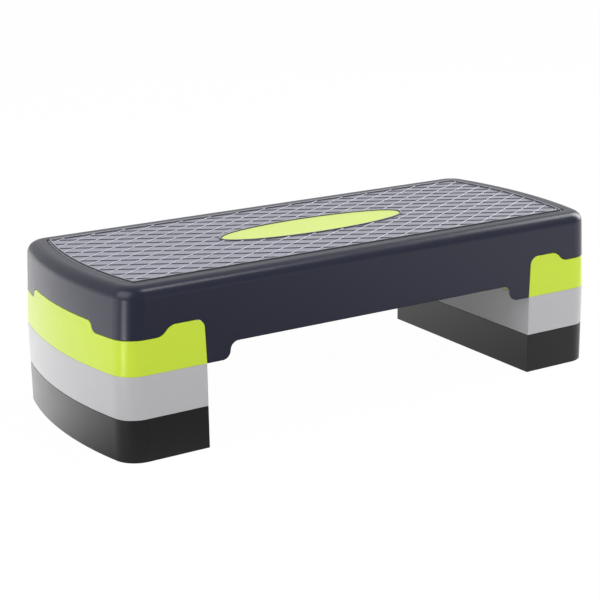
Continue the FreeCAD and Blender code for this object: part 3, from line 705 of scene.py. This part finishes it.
def tread_tree():
    """Fills the sheet's outlines and sweeps a rounded ridge along every rib and lip."""
    lengths = ("Sheet Low", "Sheet Depth", "Tall Side", "Low Side", "Rib Tall", "Rib Low",
               "Lip Tall", "Lip Low", "Edge Round")
    inputs = {label: "NodeSocketFloat" for label in lengths} | {"Material": "NodeSocketMaterial"}
    tree, group_in, group_out = new_tree("Ribbed tread", inputs)
    given = group_in.outputs
    sweep = add_node(
        tree, "GeometryNodeInputNamedAttribute", {"Name": "sweep"}, data_type="INT").outputs[0]

    def geometry(kind, values, **options):
        return add_node(tree, f"GeometryNode{kind}", values, **options).outputs[0]

    def vector(values):
        return add_node(tree, "ShaderNodeCombineXYZ", values).outputs[0]

    def paths(kind):
        chosen = add_node(tree, "FunctionNodeCompare", {"A_INT": sweep, "B_INT": kind},
                          data_type="INT", operation="EQUAL").outputs[0]
        return geometry("MeshToCurve", {"Mesh": given["Geometry"], "Selection": chosen})

    width = calculate(tree, "ADD", given["Low Side"], given["Tall Side"])
    half_width = calculate(tree, "MULTIPLY", width, 0.5)
    shift = calculate(tree, "SUBTRACT", half_width, given["Tall Side"])

    def ridge(kind, tall, low):
        """A bar whose top slopes from its tall flank to its low one, with rounded edges.

        Its section is a trapezoid laid on its side, so that the parallel sides are the flanks.
        """
        flanks = {"Height": width, "Bottom Width": tall, "Top Width": low, "Offset": 0.0}
        section = geometry("CurvePrimitiveQuadrilateral", flanks, mode="TRAPEZOID")
        rounding = {"Curve": section, "Count": RIDGE_ROUND_STEPS, "Radius": given["Edge Round"],
                    "Limit Radius": True}
        section = geometry("FilletCurve", rounding, mode="POLY")
        section = geometry("Transform", {"Geometry": section, "Translation": vector({"Y": shift})})
        on_its_side = (0.0, 0.0, QUARTER_TURN)
        section = geometry("Transform", {"Geometry": section, "Rotation": on_its_side})
        line = geometry("SetCurveNormal", {"Curve": paths(kind)}, mode="Z_UP")
        sweeping = {"Curve": line, "Profile Curve": section, "Fill Caps": True}
        # stores each ridge's share of painted highlight and painted shade for the tread rubber
        rub_and_light = {"Geometry": geometry("CurveToMesh", sweeping), "Name": RUBBED_AND_LIT_NAME,
                   "Value": RUBBED_AND_LIT[kind]}
        return geometry("StoreNamedAttribute", rub_and_light, data_type="FLOAT", domain="POINT")

    flat = geometry("FillCurve", {"Curve": paths(SHEET)})
    low = vector({"Z": given["Sheet Low"]})
    bottom = geometry("Transform", {"Geometry": flat, "Translation": low})
    depth = vector({"Z": given["Sheet Depth"]})
    raised = geometry("ExtrudeMesh", {"Mesh": bottom, "Offset": depth, "Individual": False})
    parts = [
        raised,
        geometry("FlipFaces", {"Mesh": bottom}),
        ridge(PALE_RIB, given["Rib Tall"], given["Rib Low"]),
        ridge(DARK_RIB, given["Rib Tall"], given["Rib Low"]),
        ridge(LIP, given["Lip Tall"], given["Lip Low"]),
    ]
    join = add_node(tree, "GeometryNodeJoinGeometry")
    for part in parts:
        tree.links.new(part, join.inputs[0])
    close_tree(tree, group_in, group_out, join.outputs[0])
    return tree


class STEP_OT_tread(Operator):
    """Make the anti-slip mat with its lattice of ribs and its edge lips."""

    bl_idname = "step_platform.tread"
    bl_label = "Make tread mat"

    def execute(self, context):
        tread = settings().tread
        values = {
            "Sheet Low": MAT_LOW.z,
            "Sheet Depth": MAT_HIGH.z - tread.field_depth - MAT_LOW.z,
            "Tall Side": tread.tall_side,
            "Low Side": tread.low_side,
            "Rib Tall": tread.rib_tall,
            "Rib Low": tread.rib_low,
            "Lip Tall": tread.lip_tall,
            "Lip Low": tread.lip_low,
            "Edge Round": tread.edge_round,
            "Material": tread_rubber(tread),
        }
        mat = grow("ribbed_tread", tread_paths(tread), tread_tree(), values)
        clean(mat.data, TREAD_SHARP)
        mat.modifiers.new("flat crests", "WEIGHTED_NORMAL").keep_sharp = True
        if not mat.data.polygons:
            raise RuntimeError("the tread has no faces")
        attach(mat, "platform")
        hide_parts("tread_mat")
        return {"FINISHED"}


# Badge plate

BADGE_EDGE_STEPS = 6
BADGE_CROWN_STEPS = 8
BADGE_SHARP = math.radians(50)


class STEP_OT_badge(Operator):
    """Make the bare oval plate with its rounded edge and slight crown."""

    bl_idname = "step_platform.badge"
    bl_label = "Make badge plate"

    def execute(self, context):
        badge = settings().badge
        top = BADGE_HIGH.z - badge.crown
        edge = badge.edge_round
        section = [(0.0, MAT_LOW.z), (0.0, top - edge)]
        for step in range(1, BADGE_EDGE_STEPS + 1):
            turn = QUARTER_TURN * step / BADGE_EDGE_STEPS
            section.append((edge * (1 - math.cos(turn)), top - edge * (1 - math.sin(turn))))
        reach = BADGE_HIGH.y
        for step in range(1, BADGE_CROWN_STEPS + 1):
            inset = edge + (reach - 2 * edge) * step / BADGE_CROWN_STEPS
            section.append((inset, top + badge.crown * (1 - ((reach - inset) / reach) ** 2)))
        rings = [(BADGE_HIGH.x - inset, reach - inset, height) for inset, height in section]
        mesh = stacked_ovals("badge_face", rings, badge.steps)
        clean(mesh, BADGE_SHARP)
        plate = new_object("badge_face", mesh)
        mesh.materials.append(badge_plastic(badge))
        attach(plate, "platform")
        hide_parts("badge_plate")
        return {"FINISHED"}


# Moulded shells

class STEP_OT_deck(Operator):
    """Finish the deck's moulded shell."""

    bl_idname = "step_platform.deck"
    bl_label = "Finish deck"

    def execute(self, context):
        paint(["deck"], moulded_plastic("deck plastic", settings().deck))
        return {"FINISHED"}


class STEP_OT_blocks(Operator):
    """Finish the legs and both levels of risers."""

    bl_idname = "step_platform.blocks"
    bl_label = "Finish legs and risers"

    def execute(self, context):
        for block in ("leg", "upper_riser", "lower_riser"):
            names = [f"{block}_left", f"{block}_right"]
            low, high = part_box(names[0])
            finish = getattr(settings(), block)
            paint(names, moulded_plastic(f"{block} plastic", finish, [(low.z, high.z)]))
        return {"FINISHED"}


# Feet and screws

FOOT_SHARP = math.radians(35)

# parts of a foot's sole, as shares of its radius
SOLE_MIDDLE = 0.3
DISH_END = 0.5
SOLE_START = 0.58
SOLE_END = 0.9

# half the section of a foot, from the sole's end round the rim to the top of the stem, as shares
# of its radius and of its height
DISC_HEIGHT = 0.3
STEM_RADIUS = 3 / 7
FOOT_SIDE = (
    (SOLE_END, 0.0),
    (0.97, 0.03),
    (1.0, 0.07),
    (1.0, DISC_HEIGHT),
    (STEM_RADIUS, DISC_HEIGHT),
    (STEM_RADIUS, 1.0),
)


def foot_mesh(foot, low, high):
    """One turned foot on the floor at the origin: a dished sole, a rounded rim and its stem."""
    radius = (high.x - low.x) / 2
    tall = high.z - low.z
    section = [(SOLE_MIDDLE * radius, foot.dish), (DISH_END * radius, foot.dish),
               (SOLE_START * radius, 0.0)]
    section += [(across * radius, up * tall) for across, up in FOOT_SIDE]
    return stacked_ovals("foot", [(across, across, up) for across, up in section], foot.steps)


def repeat_tree():
    """Repeats one shape at every point of the source mesh."""
    inputs = {"Shape": "NodeSocketObject", "Material": "NodeSocketMaterial"}
    tree, group_in, group_out = new_tree("Repeat on points", inputs)
    shape = add_node(tree, "GeometryNodeObjectInfo", {"Object": group_in.outputs["Shape"]})
    values = {"Points": group_in.outputs["Geometry"], "Instance": output(shape, "Geometry")}
    repeated = add_node(tree, "GeometryNodeInstanceOnPoints", values).outputs[0]
    close_tree(tree, group_in, group_out, repeated)
    return tree


class STEP_OT_feet(Operator):
    """Make the push-in rubber feet of every body, and finish the screws."""

    bl_idname = "step_platform.feet"
    bl_label = "Make feet"

    def execute(self, context):
        foot = settings().foot
        rubber = foot_rubber(foot)
        tree = repeat_tree()
        for body, nodes in frame["record"]["behaviour"]["bodies"].items():
            feet = [node for node in nodes if "_foot_" in node]
            boxes = [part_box(node) for node in feet]
            places = [((low.x + high.x) / 2, (low.y + high.y) / 2, low.z) for low, high in boxes]
            points = bpy.data.meshes.new("foot places")
            points.from_pydata(places, [], [])
            pattern = bpy.data.objects.new("foot pattern", foot_mesh(foot, *boxes[0]))
            piece = grow(f"{body}_feet", points, tree, {"Shape": pattern, "Material": rubber})
            bpy.data.objects.remove(pattern)
            clean(piece.data, FOOT_SHARP)
            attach(piece, body)
            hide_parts(*feet)
        paint(["leg_screws_left", "leg_screws_right"], zinc_steel(foot))
        return {"FINISHED"}


# Studio

# the floor's zones in reflections: where each begins and where it is full, in metres
RIGHT_ACROSS = (-0.1, 0.75)
BEHIND_DEPTH = (-0.3, 0.3)
LEFT_ACROSS = (-0.25, -0.4)
LEFT_NEAR_DEPTH = (-0.15, 0.1)
LEFT_FAR_DEPTH = (0.85, 0.2)

# the lit strip of floor that the near left corner mirrors: its slope in plan, half its width, and
# where it begins
STREAK_SLOPE = 0.39
STREAK_HALF = 0.16
STREAK_ACROSS = (-0.55, -0.75)

# how far a direction points away from the near side, from the studio's near side to its far one
STUDIO_DEPTH = (-0.5, 0.6)


def white_rays(tree):
    """Two switches: for rays from the camera, a mirror or a glass, and for those from a mirror."""
    paths = add_node(tree, "ShaderNodeLightPath")
    glossy = output(paths, "Is Glossy Ray")
    seen = calculate(tree, "MAXIMUM", output(paths, "Is Camera Ray"), glossy)
    seen = calculate(tree, "MAXIMUM", seen, output(paths, "Is Transmission Ray"))
    return seen, glossy


def floor_gloss(tree, stage):
    """How bright the floor is in reflections: dim in front, brighter round the other sides, and
    with one lit strip on the left."""
    place = output(add_node(tree, "ShaderNodeTexCoord"), "Object")
    across = along(tree, place, "X")
    depth = along(tree, place, "Y")
    right = ramp(tree, across, *RIGHT_ACROSS)
    strength = mix_numbers(tree, right, stage.floor_front, stage.floor_right)
    behind = ramp(tree, depth, *BEHIND_DEPTH)
    strength = mix_numbers(tree, behind, strength, stage.floor_behind)
    left = calculate(
        tree, "MULTIPLY", ramp(tree, across, *LEFT_ACROSS), ramp(tree, depth, *LEFT_NEAR_DEPTH))
    left = calculate(tree, "MULTIPLY", left, ramp(tree, depth, *LEFT_FAR_DEPTH))
    strength = mix_numbers(tree, left, strength, stage.floor_left)
    corner = CAD_BOX[0]
    beyond = calculate(tree, "SUBTRACT", depth, corner.y)
    beside = calculate(tree, "SUBTRACT", across, corner.x)
    middle = calculate(tree, "MULTIPLY", beside, STREAK_SLOPE)
    aside = calculate(tree, "SUBTRACT", beyond, middle)
    streak = calculate(
        tree, "MULTIPLY", ramp(tree, aside, -STREAK_HALF, 0.0), ramp(tree, aside, STREAK_HALF, 0.0))
    streak = calculate(tree, "MULTIPLY", streak, ramp(tree, across, *STREAK_ACROSS))
    lit = calculate(tree, "MULTIPLY", streak, stage.floor_streak)
    return calculate(tree, "ADD", strength, lit)


def studio_white(stage):
    """A matte white floor that shows mostly as plain white, with a faint shadow left in it."""
    material = bpy.data.materials.new("studio white")
    tree = empty_tree(material)
    matte = add_node(
        tree, "ShaderNodeBsdfDiffuse", {"Color": tinted(WHITE[:3], stage.floor_matte)})
    seen, glossy = white_rays(tree)
    strength = mix_numbers(tree, glossy, 1.0, floor_gloss(tree, stage))
    plain = add_node(tree, "ShaderNodeEmission", {"Color": WHITE, "Strength": strength})
    values = {"Fac": calculate(tree, "MULTIPLY", seen, stage.floor_white),
              "Shader": matte.outputs[0], "Shader_001": plain.outputs[0]}
    blend = add_node(tree, "ShaderNodeMixShader", values)
    add_node(tree, "ShaderNodeOutputMaterial", {"Surface": blend.outputs[0]})
    return material


def studio_world(stage):
    """Even light for matte surfaces, and a white background that is dimmer in gloss, most on the
    near side."""
    world = bpy.data.worlds.new("studio")
    tree = empty_tree(world)
    seen, glossy = white_rays(tree)
    direction = output(add_node(tree, "ShaderNodeTexCoord"), "Generated")
    far = ramp(tree, along(tree, direction, "Y"), *STUDIO_DEPTH)
    mirrored = mix_numbers(tree, far, stage.near_side, stage.backdrop)
    shown = mix_numbers(tree, glossy, 1.0, mirrored)
    strength = mix_numbers(tree, seen, stage.surroundings, shown)
    light = add_node(tree, "ShaderNodeBackground", {"Color": WHITE, "Strength": strength})
    add_node(tree, "ShaderNodeOutputWorld", {"Surface": light.outputs[0]})
    return world


def soft_light(name, place, aim, width, height, power, mirrored=True):
    light = bpy.data.lights.new(name, "AREA")
    light.shape = "RECTANGLE"
    light.size = width
    light.size_y = height
    light.energy = power
    lamp = new_object(name, light)
    lamp.location = place
    lamp.rotation_euler = (Vector(place) - Vector(aim)).to_track_quat("Z", "Y").to_euler()
    lamp.visible_camera = False
    lamp.visible_glossy = mirrored


def soft_lights(stage):
    """A large light on the left, a wide one at the front right, a tall one on the right, and a
    small one above."""
    middle = (CAD_BOX[0] + CAD_BOX[1]) / 2
    right_end = (CAD_BOX[1].x, 0.0, middle.z)
    near_corner = (CAD_BOX[0].x, CAD_BOX[0].y, CAD_BOX[1].z)
    soft_light("key", place=(-2.1, -0.5, 1.6), aim=middle, width=2.2, height=2.2,
               power=stage.key_power)
    soft_light("fill", place=(1.9, -2.1, 1.4), aim=right_end, width=3.2, height=2.4,
               power=stage.fill_power, mirrored=False)
    soft_light("side", place=(2.6, 0.2, 1.4), aim=middle, width=1.2, height=2.4,
               power=stage.side_power)
    soft_light("top", place=(0.52, -0.71, 2.0), aim=near_corner, width=0.5, height=0.5,
               power=stage.top_power)


def view_camera(stage):
    """A camera that stands, looks and leans as its settings say."""
    level = math.cos(stage.camera_rise)
    ahead = math.cos(stage.camera_turn)
    aside = math.sin(stage.camera_turn)
    right = Vector((ahead, aside, 0.0))
    back = Vector((aside * level, -ahead * level, math.sin(stage.camera_rise)))
    axes = Matrix((right, back.cross(right), back)).transposed()
    turned = axes @ Matrix.Rotation(stage.camera_roll, 3, "Z")
    camera = new_object("camera", bpy.data.cameras.new("camera"))
    camera.data.lens = stage.lens
    camera.matrix_world = Matrix.Translation(stage.camera_place) @ turned.to_4x4()
    return camera


class STEP_OT_stage(Operator):
    """Set the white studio, its soft lights and the camera."""

    bl_idname = "step_platform.stage"
    bl_label = "Set studio"

    def execute(self, context):
        stage = settings().stage
        scene = bpy.context.scene
        half = stage.floor_span / 2
        corners = [(-half, -half, 0), (half, -half, 0), (half, half, 0), (-half, half, 0)]
        mesh = bpy.data.meshes.new("studio_floor")
        mesh.from_pydata(corners, [], [(0, 1, 2, 3)])
        mesh.materials.append(studio_white(stage))
        new_object("studio_floor", mesh)
        scene.world = studio_world(stage)
        soft_lights(stage)
        scene.camera = view_camera(stage)
        scene.view_settings.view_transform = "Standard"
        return {"FINISHED"}


# Add-on

def own_settings(group):
    """The names of a group's settings, without those that every group has."""
    names = (prop.identifier for prop in group.bl_rna.properties)
    return [name for name in names if name not in ("rna_type", "name")]


class STEP_PT_looks(Panel):
    """Lists the platform's sizes, colours and building steps."""

    bl_label = "Step Platform"
    bl_idname = "STEP_PT_looks"
    bl_space_type = "VIEW_3D"
    bl_region_type = "UI"
    bl_category = "Step Platform"

    def draw(self, context):
        everything = context.scene.step_platform
        for group in own_settings(everything):
            box = self.layout.box()
            box.label(text=group.replace("_", " ").capitalize())
            part = getattr(everything, group)
            for setting in own_settings(part):
                box.prop(part, setting)
        for operator in OPERATORS:
            self.layout.operator(operator.bl_idname)


GROUPS = (
    DeckFinish, LegFinish, UpperRiserFinish, LowerRiserFinish, TreadSettings, BadgeSettings,
    FootSettings, StageSettings, StepPlatformSettings,
)
OPERATORS = (
    STEP_OT_deck, STEP_OT_blocks, STEP_OT_tread, STEP_OT_badge, STEP_OT_feet, STEP_OT_stage,
)


def register():
    for item in GROUPS + OPERATORS + (STEP_PT_looks,):
        bpy.utils.register_class(item)
    bpy.types.Scene.step_platform = PointerProperty(type=StepPlatformSettings)


def unregister():
    del bpy.types.Scene.step_platform
    for item in reversed(GROUPS + OPERATORS + (STEP_PT_looks,)):
        bpy.utils.unregister_class(item)


def main():
    register()
    bpy.ops.step_platform.deck()
    bpy.ops.step_platform.blocks()
    bpy.ops.step_platform.tread()
    bpy.ops.step_platform.badge()
    bpy.ops.step_platform.feet()
    bpy.ops.step_platform.stage()


if __name__ == "__main__":
    main()
